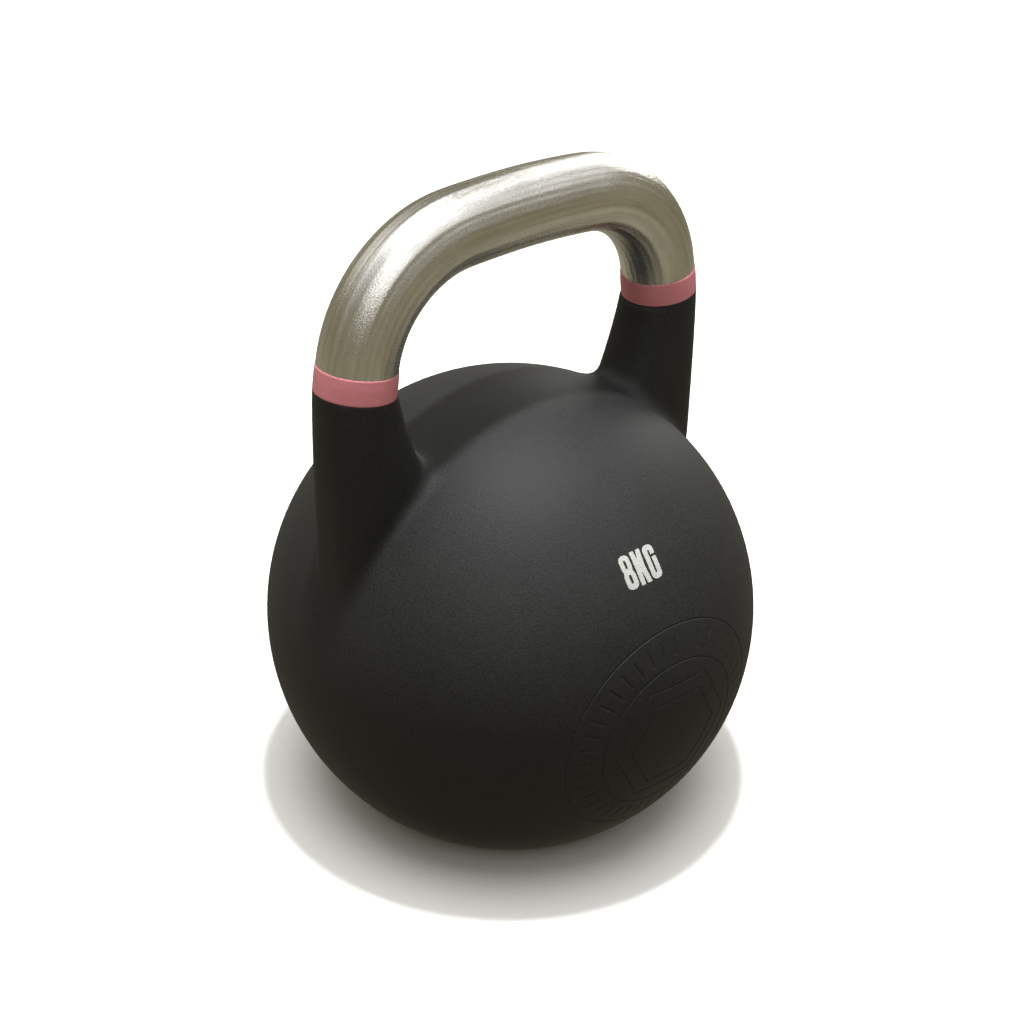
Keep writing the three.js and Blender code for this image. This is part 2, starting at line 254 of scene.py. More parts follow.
def surface_net(field, low, high, step):
    """Quads on the zero level of a field, one vertex to a cell."""
    axes = [np.arange(low[i], high[i] + step, step) for i in range(3)]
    grid = np.stack(np.meshgrid(*axes, indexing="ij"), axis=-1)
    shape = grid.shape[:3]
    value = np.concatenate([field(slab.reshape(-1, 3)) for slab in grid]).reshape(shape)
    value[:, :, -1] = np.maximum(value[:, :, -1], step)     # closes the horns above their tops
    cells = tuple(n - 1 for n in shape)
    total = np.zeros(cells + (3,))
    hits = np.zeros(cells, int)
    crossings = []
    for axis in range(3):
        near = [slice(None)] * 3
        far = [slice(None)] * 3
        near[axis], far[axis] = slice(0, -1), slice(1, None)
        a, b = value[tuple(near)], value[tuple(far)]
        at = np.argwhere((a < 0) != (b < 0))
        va, vb = a[tuple(at.T)], b[tuple(at.T)]
        point = np.array(low) + at * step
        point[:, axis] += step * va / (va - vb)
        others = [i for i in range(3) if i != axis]
        around = []
        for du, dv in ((-1, -1), (0, -1), (0, 0), (-1, 0)):
            cell = at.copy()
            cell[:, others[0]] += du
            cell[:, others[1]] += dv
            np.add.at(total, tuple(cell.T), point)
            np.add.at(hits, tuple(cell.T), 1)
            around.append(cell)
        flip = (va < 0) != (axis == 1)
        crossings.append((around, flip))
    used = hits > 0
    index = np.full(cells, -1)
    index[used] = np.arange(used.sum())
    points = total[used] / hits[used][:, None]
    faces = []
    for around, flip in crossings:
        quad = np.stack([index[tuple(c.T)] for c in around], axis=1)
        quad[~flip] = quad[~flip][:, ::-1]
        faces.append(quad)
    return points, np.concatenate(faces)


def settle(field, points, faces, rounds=4):
    """Evens out the vertices along the surface and puts each one exactly on it."""
    for turn in range(rounds + 1):
        if turn:
            total = np.zeros_like(points)
            hits = np.zeros(len(points))
            for i in range(4):
                for j in (1, 3):
                    np.add.at(total, faces[:, i], points[faces[:, (i + j) % 4]])
                    np.add.at(hits, faces[:, i], 1)
            points = points + 0.5 * (total / hits[:, None] - points)
        for _ in range(3):
            g = gradient(field, points)
            size = np.maximum((g ** 2).sum(axis=1), 1e-6)
            points = points - g * (field(points) / size)[:, None]
    return points


ROUNDEL_AXIS = np.array([
    math.sin(ROUNDEL_AZ) * math.cos(ROUNDEL_EL),
    -math.cos(ROUNDEL_AZ) * math.cos(ROUNDEL_EL),
    math.sin(ROUNDEL_EL),
])
BALL_MIDDLE = np.array([0, 0, BALL_Z])


def tangents(axis):
    """East and up on the ball at a direction."""
    east = np.cross([0, 0, 1], axis)
    east /= np.linalg.norm(east)
    east = -east if np.dot(east, [1, 0, 0]) < 0 else east
    up = np.cross(east, axis)
    up = -up if up[2] < 0 else up
    return east, up


def cut_casting(points, faces):
    """Cuts the closed skin flat at the base, at both horn tops and round the roundel."""
    bm = bmesh.new()
    made = [bm.verts.new(p) for p in points]
    for f in faces:
        bm.faces.new([made[i] for i in f])
    bm.faces.ensure_lookup_table()
    edge = BALL_MIDDLE + ROUNDEL_AXIS * BALL_R * math.cos(ROUNDEL_EDGE / BALL_R)
    cuts = [(0, (0, 0, BASE_CUT_Z), (0, 0, -1)), (0, tuple(edge), tuple(ROUNDEL_AXIS))]
    x, z, _ = station(-RIM)
    for side in (1, -1):
        cuts.append((side, (side * x, 0, z), (-side * math.sin(LEAN), 0, math.cos(LEAN))))
    for side, where, normal in cuts:
        parts = [f for f in bm.faces if side == 0 or min(side * v.co.x for v in f.verts) > BOSS_R]
        parts += list({e for f in parts for e in f.edges}) + list({v for f in parts for v in f.verts})
        bmesh.ops.bisect_plane(
            bm, geom=parts, plane_co=where, plane_no=normal, dist=1e-4, clear_outer=True
        )
    bmesh.ops.remove_doubles(bm, verts=[v for v in bm.verts if v.is_boundary], dist=0.05)
    bm.verts.index_update()
    out = np.array([v.co[:] for v in bm.verts])
    quads = [tuple(v.index for v in f.verts) for f in bm.faces]
    rim = [v.index for v in bm.verts if v.is_boundary]
    bm.free()
    return out, quads, rim


class Skin:
    """A growing mesh: points, faces, and rings of indices that can be carried on."""

    def __init__(self, points, faces):
        self.points = [tuple(p) for p in points]
        self.faces = list(faces)

    def add_ring(self, points):
        first = len(self.points)
        self.points += [tuple(p) for p in points]
        return list(range(first, first + len(points)))

    def join(self, a, b):
        for i in range(len(a)):
            j = (i + 1) % len(a)
            self.faces.append((a[i], a[j], b[j], b[i]))

    def zip(self, a, angle_a, b, angle_b):
        """Triangles between two rings of different counts, both sorted by angle."""
        i = j = 0
        na, nb = len(a), len(b)
        while i < na or j < nb:
            next_a = angle_a[(i + 1) % na] + (2 * math.pi if i + 1 >= na else 0)
            next_b = angle_b[(j + 1) % nb] + (2 * math.pi if j + 1 >= nb else 0)
            if j >= nb or (i < na and next_a <= next_b):
                self.faces.append((a[i % na], a[(i + 1) % na], b[j % nb]))
                i += 1
            else:
                self.faces.append((a[i % na], b[(j + 1) % nb], b[j % nb]))
                j += 1

    def cap(self, ring, point):
        self.points.append(tuple(point))
        middle = len(self.points) - 1
        for i in range(len(ring)):
            self.faces.append((ring[i], ring[(i + 1) % len(ring)], middle))


def arc(x, y, r, start, stop, count=9):
    """Points on a circle between two angles in degrees."""
    a = np.radians(np.linspace(start, stop, count))
    return [(x + r * math.cos(t), y + r * math.sin(t)) for t in a]


def bezier(a, b, c, count):
    t = np.linspace(0, 1, count)[:, None]
    a, b, c = (np.array(v) for v in (a, b, c))
    return [tuple(v) for v in (1 - t) ** 2 * a + 2 * t * (1 - t) * b + t ** 2 * c]


def base_profile():
    """[r, z] pairs from the cut down round the standing face, up the recess and on inside the hollow."""
    start_z = 4.6
    q = start_z - BALL_Z
    start_r = math.sqrt(BALL_R ** 2 - q ** 2)
    foot_r = start_r + start_z * q / start_r
    pairs = []
    for z in (6.9, 5.8):
        pairs.append((math.sqrt(BALL_R ** 2 - (z - BALL_Z) ** 2), z))
    pairs += bezier((start_r, start_z), (foot_r, 0), (foot_r - 3.5, 0), 7)
    pairs += [(58, 0), (53, 0), (RECESS_R + 1.2, 0)]
    pairs += arc(RECESS_R + 0.6, 0.6, 0.6, -90, -180, 5)
    pairs += [(RECESS_R, RECESS_TOP - 0.4), (RECESS_R, RECESS_TOP), (OPENING_R + 0.4, RECESS_TOP)]
    pairs += [(OPENING_R, RECESS_TOP + 0.4), (OPENING_R, FLOOR_TOP)]
    inner = BALL_R - WALL
    low = math.degrees(math.asin((FLOOR_TOP - BALL_Z) / inner))
    high = math.degrees(math.acos(BOSS_R / inner))
    pairs += arc(0, BALL_Z, inner, low, high, 22)
    pairs += [(BOSS_R, BOSS_LOW_Z + 0.6), (BOSS_R - 0.6, BOSS_LOW_Z), (STUD_HOLE_R + 0.5, BOSS_LOW_Z)]
    pairs += [(STUD_HOLE_R, BOSS_LOW_Z + 0.5), (STUD_HOLE_R, STUD_HOLE_TOP)]
    return pairs


def build_base(body, ring):
    angles = np.array([math.atan2(body.points[i][1], body.points[i][0]) for i in ring])
    for r, z in base_profile():
        level = np.stack([r * np.cos(angles), r * np.sin(angles), np.full(len(ring), z)], axis=1)
        new = body.add_ring(level)
        body.join(ring, new)
        ring = new
    body.cap(ring, (0, 0, STUD_HOLE_TOP))


def build_horn_top(body, ring, side):
    """Closes a horn: small bevel, flat seat and the spigot that the tube is pushed over."""
    x, z, t = station(-RIM)
    axis_u = np.array([math.sin(t), 0, math.cos(t)])
    points = np.array([body.points[i] for i in ring]) * [side, 1, 1]
    local = points - [x, 0, z]
    angles = np.arctan2(local[:, 1], local @ axis_u)

    def level(s, r):
        sx, sz, st = station(s)
        u, v = r * np.cos(angles), r * np.sin(angles)
        return np.stack([side * (sx + u * math.sin(st)), v, sz + u * math.cos(st)], axis=1)

    for i, point in zip(ring, level(-RIM, HORN_R)):
        body.points[i] = tuple(point)
    steps = [(-0.12, HORN_R), (-0.03, HORN_R - 0.04), (0.0, HORN_R - 0.13)]
    steps += [(0.0, SPIGOT_R + 0.4), (0.4, SPIGOT_R), (5.0, SPIGOT_R)]
    steps += [(SPIGOT_H - SPIGOT_TAPER, SPIGOT_R), (SPIGOT_H, SPIGOT_R - SPIGOT_TAPER)]
    for s, r in steps:
        new = body.add_ring(level(s, r))
        body.join(ring, new)
        ring = new
    sx, sz, _ = station(SPIGOT_H)
    body.cap(ring, (side * sx, 0, sz))


def groove(distance):
    """Depth of a groove at a distance from its middle line."""
    t = np.clip(np.abs(distance) / GROOVE_HALF, 0, 1)
    return GROOVE_DEPTH * np.cos(t * math.pi / 2) ** 2


def around_groove(middle):
    """Stations across a groove, from outside in."""
    return [middle + GROOVE_HALF * k for k in (1.25, 1.0, 0.7, 0.4, 0.15, -0.15, -0.4, -0.7, -1.0, -1.25)]


def roundel_angles():
    """Columns of the roundel, gathered at both edges of each tick."""
    pitch = 2 * math.pi / TICKS
    middle = (TICK_LOW + TICK_HIGH) / 2
    near = [GROOVE_HALF * k / middle for k in (-1.1, -0.75, -0.4, 0, 0.4, 0.75, 1.1)]
    gap = np.linspace(near[-1], pitch + near[0], 6)[1:-1]
    offsets = near + list(gap)
    return np.array(sorted((i * pitch + o) % (2 * math.pi) for i in range(TICKS) for o in offsets))


HEX_SIZES = (26.0, 19.5)     # from the middle to the flats


def hexagon(angles):
    """Distance from the middle of a hexagon whose flats are 1 away."""
    wedge = math.pi / 3
    return 1 / np.cos((angles % wedge) - wedge / 2)


def build_roundel(body, ring):
    """Fills the round cut: two plain circles, even ticks between them and two plain hexagons inside."""
    east, up = tangents(ROUNDEL_AXIS)
    local = np.array([body.points[i] for i in ring]) - BALL_MIDDLE
    ring_angles = np.arctan2(local @ up, local @ east) % (2 * math.pi)
    order = np.argsort(ring_angles)
    ring = [ring[i] for i in order]
    ring_angles = ring_angles[order]
    angles = roundel_angles()
    pitch = 2 * math.pi / TICKS
    off = (angles + pitch / 2) % pitch - pitch / 2

    def place(rho, depth):
        turn = rho / BALL_R
        flat = np.cos(angles)[:, None] * east + np.sin(angles)[:, None] * up
        way = np.cos(turn)[:, None] * ROUNDEL_AXIS + np.sin(turn)[:, None] * flat
        return BALL_MIDDLE + (BALL_R - depth)[:, None] * way

    circles = [52.0] + around_groove(ROUNDEL_OUTER) + [48.4, 47.2]
    ends = GROOVE_HALF * 0.9
    circles += [TICK_HIGH + ends, TICK_HIGH + ends / 2, TICK_HIGH, TICK_HIGH - ends]
    circles += list(np.linspace(TICK_HIGH - 2, TICK_LOW + 2, 3))
    circles += [TICK_LOW + ends, TICK_LOW, TICK_LOW - ends / 2, TICK_LOW - ends, 37.2]
    circles += around_groove(ROUNDEL_INNER) + [33.2, 32.2]
    rows = []
    for rho in circles:
        depth = np.maximum(groove(rho - ROUNDEL_OUTER), groove(rho - ROUNDEL_INNER))
        past = max(rho - TICK_HIGH, TICK_LOW - rho, 0.0)
        tick = groove(np.hypot(off * rho, past))
        rows.append((np.full(len(angles), rho), np.maximum(depth, tick)))
    shape = hexagon(angles)
    sizes = [27.4] + around_groove(HEX_SIZES[0]) + [24.6, 22.8, 21.2]
    sizes += around_groove(HEX_SIZES[1]) + [17.5, 14.5, 11.0, 7.5, 4.0]
    for size in sizes:
        depth = np.full(len(angles), max(groove(size - h) for h in HEX_SIZES))
        rows.append((size * shape, depth))
    last = None
    for rho, depth in rows:
        new = body.add_ring(place(rho, depth))
        if last is None:
            body.zip(ring, ring_angles, new, angles)
        else:
            body.join(last, new)
        last = new
    body.cap(last, BALL_MIDDLE + BALL_R * ROUNDEL_AXIS)


def build_casting():
    margin = 3 * NET_STEP
    low = np.array([-BALL_R - margin, -BALL_R - margin, BALL_Z - BALL_R - margin])
    high = np.array([BALL_R + margin, BALL_R + margin, HORN_TOP_Z + 10])
    points, faces = surface_net(casting, low, high, NET_STEP)
    points = settle(casting, points, faces)
    points, quads, rim = cut_casting(points, faces)
    body = Skin(points, quads)
    groups = {"base": [], "right": [], "left": [], "roundel": []}
    for i in rim:
        x, _, z = points[i]
        if z < BASE_CUT_Z + 0.5:
            groups["base"].append(i)
        elif z > BALL_Z + BALL_R:
            groups["right" if x > 0 else "left"].append(i)
        else:
            groups["roundel"].append(i)

    def sort_round(name, middle, first, second):
        local = points[groups[name]] - middle
        turn = np.arctan2(local @ np.array(second), local @ np.array(first))
        return [groups[name][i] for i in np.argsort(turn)]

    build_base(body, sort_round("base", [0, 0, 0], [1, 0, 0], [0, 1, 0]))
    for name, side in (("right", 1), ("left", -1)):
        x, z, _ = station(0)
        build_horn_top(body, sort_round(name, [side * x, 0, z], [1, 0, 0], [0, 1, 0]), side)
    build_roundel(body, groups["roundel"])
    obj = link("ball_body", body.points, body.faces)
    face_out(obj)
    return obj


# ---------- the grip tube ----------
GRIP_SIDES = 96
GRIP_STEPS = 260
WAVE_DEPTH = 0.035
WAVE_TOP = 2.1           # the waves add up to less than this


def waviness(s, a):
    """Hand polishing leaves a bar that isn't quite true. Always inwards, in millimetres."""
    slow = math.sin(s * 0.071 + 1.3) * math.sin(2 * a + s * 0.013) + 0.7 * math.sin(s * 0.123 + 3 * a)
    ripple = 0.35 * math.sin(s * 0.31 + 2.1 * math.sin(a)) * math.cos(a * 5 + s * 0.05)
    return WAVE_DEPTH * (slow + ripple - WAVE_TOP)


def build_grip():
    total = 2 * HALF_LENGTH
    edge = 0.4
    outer = [(0.0, TUBE_R - edge), (0.12, TUBE_R - 0.15), (edge, TUBE_R)]
    outer += [(s, TUBE_R) for s in np.linspace(1.5, total - 1.5, GRIP_STEPS)]
    outer += [(total - edge, TUBE_R), (total - 0.12, TUBE_R - 0.15), (total, TUBE_R - edge)]
    inner = [(total, TUBE_BORE_R)]
    inner += [(s, TUBE_BORE_R) for s in np.linspace(total - 2, 2, 70)]
    inner += [(0.0, TUBE_BORE_R)]
    rings, flow = [], []
    angles = np.linspace(0, 2 * math.pi, GRIP_SIDES, endpoint=False)
    for s, r in outer + inner:
        ring = ring_at(any_station(s), 1.0, GRIP_SIDES)
        x, z, _ = any_station(s)
        middle = np.array([x, 0, z])
        fade = min(1.0, s / BAND_H, (total - s) / BAND_H) if r == TUBE_R else 0.0
        radius = np.array([r + fade * waviness(s, a) for a in angles])
        rings.append(middle + (ring - middle) * radius[:, None])
        flow += [(s, math.cos(a) * r, math.sin(a) * r) for a in angles]
    points, faces = skin(rings)
    obj = link("grip_bar", points, faces)
    face_out(obj)
    attribute = obj.data.attributes.new("flow", "FLOAT_VECTOR", "POINT")
    attribute.data.foreach_set("vector", np.array(flow).ravel())
    return obj


# ---------- the colour bands ----------
def build_band(name, side):
    low, high, bevel = 0.02, BAND_H, 0.08
    inner_r = TUBE_R + BAND_GAP
    rim_r = inner_r + 0.1            # the band thins out to its upper edge
    taper = 4.0                      # over this length
    outline = [(low, inner_r), (low, HORN_R - bevel), (low + bevel * 0.3, HORN_R - bevel * 0.3)]
    outline += [(s, HORN_R) for s in np.linspace(low + bevel, high - taper, 10)]
    for s in np.linspace(high - 0.9 * taper, high - bevel, 7):
        outline.append((s, HORN_R + (rim_r - HORN_R) * (s - high + taper) / taper))
    outline += [(high, rim_r - bevel), (high, inner_r)]
    outline += [(s, inner_r) for s in np.linspace(high, low, 12)[1:-1]]
    rings = [ring_at(station(s), r, GRIP_SIDES) * [side, 1, 1] for s, r in outline]
    points, faces = skin(rings)
    obj = link(name, points, faces)
    face_out(obj)
    return obj


# ---------- the printed weight ----------
PRINT_HEIGHT = 13.8
GLYPH_HEIGHT = 15.0      # the height the letters are drawn at
GLYPH_PITCH = 6.1
PRINT_LIFT = 0.06        # stands this far out of the ball and reaches this far in


def slot_outline(x, low, high, half):
    return arc(x, low + half, half, 180, 360, 7) + arc(x, high - half, half, 0, 180, 7)


def digit_eight():
    half, top_half, waist = 2.7, 2.45, 2.1
    right = arc(half - 2.4, 2.4, 2.4, -90, 0)
    right += [(half, 5.6), (half - 0.15, 6.5), (waist, 7.6), (top_half - 0.12, 8.7), (top_half, 9.5)]
    right += arc(top_half - 2.2, 12.8, 2.2, 0, 90)
    left = [(-x, y) for x, y in reversed(right)]
    return [right + left, slot_outline(0, 2.5, 6.5, 0.58), slot_outline(0, 9.1, 12.8, 0.52)]


def letter_k():
    outline = [(-2.6, 0.2), (-2.4, 0), (-0.75, 0), (-0.55, 0.2)]
    outline += [(-0.45, 5.3), (-0.2, 5.3), (0.55, 0.2), (0.75, 0), (2.5, 0), (2.7, 0.25)]
    outline += [(1.95, 7.6), (2.6, 14.75), (2.4, 15), (0.75, 15), (0.55, 14.8)]
    outline += [(-0.15, 11.6), (-0.4, 11.6), (-0.55, 14.8), (-0.75, 15), (-2.4, 15), (-2.6, 14.8)]
    return [outline]


def letter_g():
    half, corner, gap = 2.65, 2.3, 0.45
    outline = arc(half - corner, corner, corner, -90, 0)
    outline += [(half, 9.2), (half - 0.25, 9.45), (gap, 9.45)]
    outline += arc(0, 3.0, gap, 0, -180, 7)
    outline += arc(0, 12.2, gap, 180, 0, 7)
    outline += [(gap, 10.5), (half - 0.25, 10.5), (half, 10.75)]
    outline += arc(half - corner, 15 - corner, corner, 0, 90)
    outline += arc(-half + corner, 15 - corner, corner, 90, 180)
    outline += arc(-half + corner, corner, corner, 180, 270)
    return [outline]


def densify(loop, step=0.35):
    out = []
    for i, a in enumerate(loop):
        b = loop[(i + 1) % len(loop)]
        n = max(1, math.ceil(math.dist(a, b) / step))
        for k in range(n):
            t = k / n
            out.append((a[0] + (b[0] - a[0]) * t, a[1] + (b[1] - a[1]) * t))
    return out


def inside(loops, x, y):
    odd = False
    for loop in loops:
        for i, (ax, ay) in enumerate(loop):
            bx, by = loop[i - 1]
            if (ay > y) != (by > y) and x < (bx - ax) * (y - ay) / (by - ay) + ax:
                odd = not odd
    return odd


def flat_fill(loops, step=0.7):
    """Triangles that fill an outline with holes, fine enough to bend over the ball."""
    loops = [densify(loop) for loop in loops]
    points, edges = [], []
    for loop in loops:
        first = len(points)
        points += loop
        edges += [(first + i, first + (i + 1) % len(loop)) for i in range(len(loop))]
    xs = [p[0] for p in points]
    ys = [p[1] for p in points]
    for x in np.arange(min(xs) + step / 2, max(xs), step):
        for y in np.arange(min(ys) + step / 2, max(ys), step):
            clear = min(math.hypot(x - px, y - py) for px, py in points)
            if clear > step * 0.45 and inside(loops, x, y):
                points.append((x, y))
    made, _, faces = geometry.delaunay_2d_cdt([Vector(p) for p in points], edges, [], 0, 1e-5)[:3]
    keep = []
    for face in faces:
        x = sum(made[i][0] for i in face) / len(face)
        y = sum(made[i][1] for i in face) / len(face)
        if inside(loops, x, y):
            keep.append(tuple(face))
    return [tuple(p) for p in made], keep


def build_print():
    axis = np.array([
        math.sin(PRINT_AZ) * math.cos(PRINT_EL),
        -math.cos(PRINT_AZ) * math.cos(PRINT_EL),
        math.sin(PRINT_EL),
    ])
    level_east, level_up = tangents(axis)
    east = level_east * math.cos(PRINT_TURN) + level_up * math.sin(PRINT_TURN)
    up = level_up * math.cos(PRINT_TURN) - level_east * math.sin(PRINT_TURN)
    vertices, faces = [], []
    for i, glyph in enumerate((digit_eight(), letter_k(), letter_g())):
        flat, tris = flat_fill(glyph)
        top = np.array([
            axis * BALL_R
            + east * (x + (i - 1) * GLYPH_PITCH)
            + up * (y / GLYPH_HEIGHT - 0.5) * PRINT_HEIGHT
            for x, y in flat
        ])
        way = top / np.linalg.norm(top, axis=1)[:, None]
        first = len(vertices)
        count = len(flat)
        vertices += [tuple(p) for p in BALL_MIDDLE + way * (BALL_R + PRINT_LIFT)]
        vertices += [tuple(p) for p in BALL_MIDDLE + way * (BALL_R - PRINT_LIFT)]
        sides = {}
        for a, b, c in tris:
            faces.append((first + a, first + b, first + c))
            faces.append((first + count + c, first + count + b, first + count + a))
            for e in ((a, b), (b, c), (c, a)):
                sides[e] = True
        for a, b in sides:
            if (b, a) not in sides:
                faces.append((first + b, first + a, first + count + a, first + count + b))
    obj = link("weight_print", vertices, faces, smooth=False)
    face_out(obj)
    return obj


# ---------- materials ----------
class Nodes:
    """A material's node tree, with short calls for the nodes that repeat."""

    def __init__(self, name):
        self.material = bpy.data.materials.new(name)
        self.material.use_nodes = True
        self.tree = self.material.node_tree
        self.shader = self.tree.nodes["Principled BSDF"]

    def add(self, kind, **values):
        node = self.tree.nodes.new(kind)
        for key, value in values.items():
            setattr(node, key, value)
        return node

    def wire(self, a, b):
        self.tree.links.new(a, b)

    def coordinates(self, attribute=None, scale=(1, 1, 1)):
        if attribute:
            source = self.add("ShaderNodeAttribute", attribute_name=attribute).outputs["Vector"]
        else:
            source = self.add("ShaderNodeTexCoord").outputs["Object"]
        mapping = self.add("ShaderNodeMapping")
        mapping.inputs["Scale"].default_value = scale
        self.wire(source, mapping.inputs["Vector"])
        return mapping.outputs["Vector"]

    def noise(self, vector, scale, detail, roughness):
        node = self.add("ShaderNodeTexNoise")
        node.inputs["Scale"].default_value = scale
        node.inputs["Detail"].default_value = detail
        node.inputs["Roughness"].default_value = roughness
        self.wire(vector, node.inputs["Vector"])
        return node.outputs["Fac"]

    def ramp(self, fac, *stops):
        """stops are (place, colour)."""
        node = self.add("ShaderNodeValToRGB")
        elements = node.color_ramp.elements
        while len(elements) < len(stops):
            elements.new(0.5)
        for element, (place, colour) in zip(elements, stops):
            element.position = place
            element.color = (*colour, 1)
        self.wire(fac, node.inputs["Fac"])
        return node.outputs["Color"]

    def span(self, fac, low, high, start=0.3, stop=0.7):
        node = self.add("ShaderNodeMapRange")
        node.inputs["From Min"].default_value = start
        node.inputs["From Max"].default_value = stop
        node.inputs["To Min"].default_value = low
        node.inputs["To Max"].default_value = high
        self.wire(fac, node.inputs["Value"])
        return node.outputs["Result"]

    def multiply(self, a, b):
        node = self.add("ShaderNodeMix", data_type="RGBA", blend_type="MULTIPLY")
        node.inputs[0].default_value = 1.0
        self.wire(a, node.inputs[6])
        self.wire(b, node.inputs[7])
        return node.outputs[2]

    def total(self, *parts):
        """Weighted sum of (socket, weight) pairs."""
        last = None
        for socket, weight in parts:
            node = self.add("ShaderNodeMath", operation="MULTIPLY_ADD")
            node.inputs[1].default_value = weight
            node.inputs[2].default_value = 0.0
            self.wire(socket, node.inputs[0])
            if last is not None:
                self.wire(last, node.inputs[2])
            last = node.outputs[0]
        return last

    def bump(self, height, distance, strength):
        node = self.add("ShaderNodeBump")
        node.inputs["Strength"].default_value = strength
        node.inputs["Distance"].default_value = distance
        self.wire(height, node.inputs["Height"])
        self.wire(node.outputs["Normal"], self.shader.inputs["Normal"])

    def set(self, **values):
        for key, value in values.items():
            self.shader.inputs[key.replace("_", " ")].default_value = value

    def colour(self, socket):
        self.wire(socket, self.shader.inputs["Base Color"])

    def rough(self, socket):
        self.wire(socket, self.shader.inputs["Roughness"])


def powder_coat():
    """Matte charcoal powder coat: fine sandy grain and faint clouding."""
    n = Nodes("powder_coat_look")
    place = n.coordinates()
    cloud = n.noise(place, 28, 4, 0.55)
    grain = n.noise(place, 1200, 2, 0.6)
    sand = n.noise(place, 3400, 1, 0.5)
    base = n.ramp(cloud, (0.3, (0.0150, 0.0152, 0.0154)), (0.7, (0.0182, 0.0184, 0.0187)))
    speck = n.ramp(grain, (0.32, (0.74, 0.74, 0.74)), (0.68, (1.28, 1.28, 1.28)))
    n.colour(n.multiply(base, speck))
    n.rough(n.span(n.total((cloud, 0.4), (grain, 0.6)), 0.53, 0.64))
    n.bump(n.total((grain, 0.6), (sand, 0.4)), 0.00022, 0.8)
    n.set(Specular_IOR_Level=0.26)
    return n.material


def satin_steel():
    """Bare steel, belt polished along the bar: soft streaks, fine grain and duller strokes."""
    n = Nodes("satin_steel_look")
    broad = n.noise(n.coordinates("flow", (0.02, 1.0, 1.0)), 0.40, 0, 0.5)
    streak = n.noise(n.coordinates("flow", (0.10, 1.0, 1.0)), 0.60, 3, 0.6)
    fine = n.noise(n.coordinates("flow", (0.6, 1.0, 1.0)), 1.4, 3, 0.65)
    grain = n.noise(n.coordinates("flow"), 2.3, 2, 0.6)
    blotch = n.noise(n.coordinates("flow", (0.5, 1.0, 1.0)), 0.10, 3, 0.5)
    tint = n.ramp(blotch, (0.3, (0.70, 0.69, 0.655)), (0.7, (0.82, 0.81, 0.785)))
    stroke = n.noise(n.coordinates("flow", (0.025, 1.0, 1.0)), 0.50, 1, 0.5)
    mark = n.total((stroke, 0.7), (streak, 0.15), (grain, 0.15))
    wear = n.ramp(mark, (0.40, (0.85, 0.84, 0.82)), (0.57, (1.0, 1.0, 1.0)))
    n.colour(n.multiply(tint, wear))
    n.rough(n.span(n.total((streak, 0.3), (fine, 0.3), (grain, 0.4)), 0.18, 0.32))
    n.bump(n.total((broad, 1.6), (streak, 0.25), (fine, 0.18), (grain, 0.48)), 0.00032, 0.9)
    n.set(Metallic=1.0)
    return n.material


def band_pink():
    n = Nodes("band_pink_look")
    place = n.coordinates()
    cloud = n.noise(place, 70, 3, 0.5)
    grain = n.noise(place, 1800, 2, 0.5)
    base = n.ramp(cloud, (0.3, (0.61, 0.205, 0.243)), (0.7, (0.69, 0.245, 0.290)))
    speck = n.ramp(grain, (0.3, (0.93, 0.93, 0.93)), (0.7, (1.05, 1.05, 1.05)))
    n.colour(n.multiply(base, speck))
    n.rough(n.span(grain, 0.46, 0.60))
    n.bump(grain, 0.00008, 0.5)
    return n.material


def print_ink():
    n = Nodes("print_ink_look")
    place = n.coordinates()
    grain = n.noise(place, 1600, 2, 0.6)
    n.colour(n.ramp(grain, (0.3, (0.35, 0.36, 0.345)), (0.62, (0.47, 0.48, 0.46))))
    n.rough(n.span(grain, 0.50, 0.65))
    n.bump(grain, 0.00008, 0.5)
    return n.material


def plain_metal(name, low, high, rough, scale=400, metallic=1.0):
    """Plated or cast metal with mottling and a fine tooth."""
    n = Nodes(name)
    place = n.coordinates()
    cloud = n.noise(place, scale * 0.25, 4, 0.55)
    grain = n.noise(place, scale * 5, 2, 0.5)
    n.colour(n.ramp(cloud, (0.3, low), (0.7, high)))
    n.rough(n.span(n.total((cloud, 0.5), (grain, 0.5)), rough - 0.08, rough + 0.08))
    n.bump(grain, 0.00008, 0.6)
    n.set(Metallic=metallic)
    return n.material


def black_rubber():
    n = Nodes("black_rubber_look")
    grain = n.noise(n.coordinates(), 1500, 3, 0.6)
    n.colour(n.ramp(grain, (0.3, (0.010, 0.010, 0.010)), (0.7, (0.018, 0.018, 0.018))))
    n.rough(n.span(grain, 0.75, 0.9))
    n.bump(grain, 0.00015, 0.7)
    return n.material


def dress(obj, material):
    obj.data.materials.clear()
    obj.data.materials.append(material)


LOOKS = {
    "powder_coat": powder_coat(),
    "satin_steel": satin_steel(),
    "band_pink": band_pink(),
    "zinc_plate": plain_metal("zinc_plate_look", (0.36, 0.37, 0.38), (0.46, 0.47, 0.48), 0.42),
    "zinc_fixing": plain_metal("zinc_fixing_look", (0.40, 0.40, 0.38), (0.52, 0.52, 0.49), 0.36),
    "ballast_iron": plain_metal(
        "ballast_iron_look", (0.045, 0.042, 0.040), (0.075, 0.070, 0.066), 0.65, 200, 0.6
    ),
    "black_rubber": black_rubber(),
    "brass_plug": plain_metal("brass_plug_look", (0.48, 0.33, 0.12), (0.60, 0.43, 0.17), 0.34),
}


def add_piece(obj, look, node=None):
    dress(obj, look)
    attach(obj, "root")
    if node:
        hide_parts(node)


add_piece(build_casting(), LOOKS["powder_coat"], "ball_shell")
add_piece(build_grip(), LOOKS["satin_steel"], "grip_handle")
add_piece(build_band("left_band", -1), LOOKS["band_pink"], "left_colour_band")
add_piece(build_band("right_band", 1), LOOKS["band_pink"], "right_colour_band")
add_piece(build_print(), print_ink())

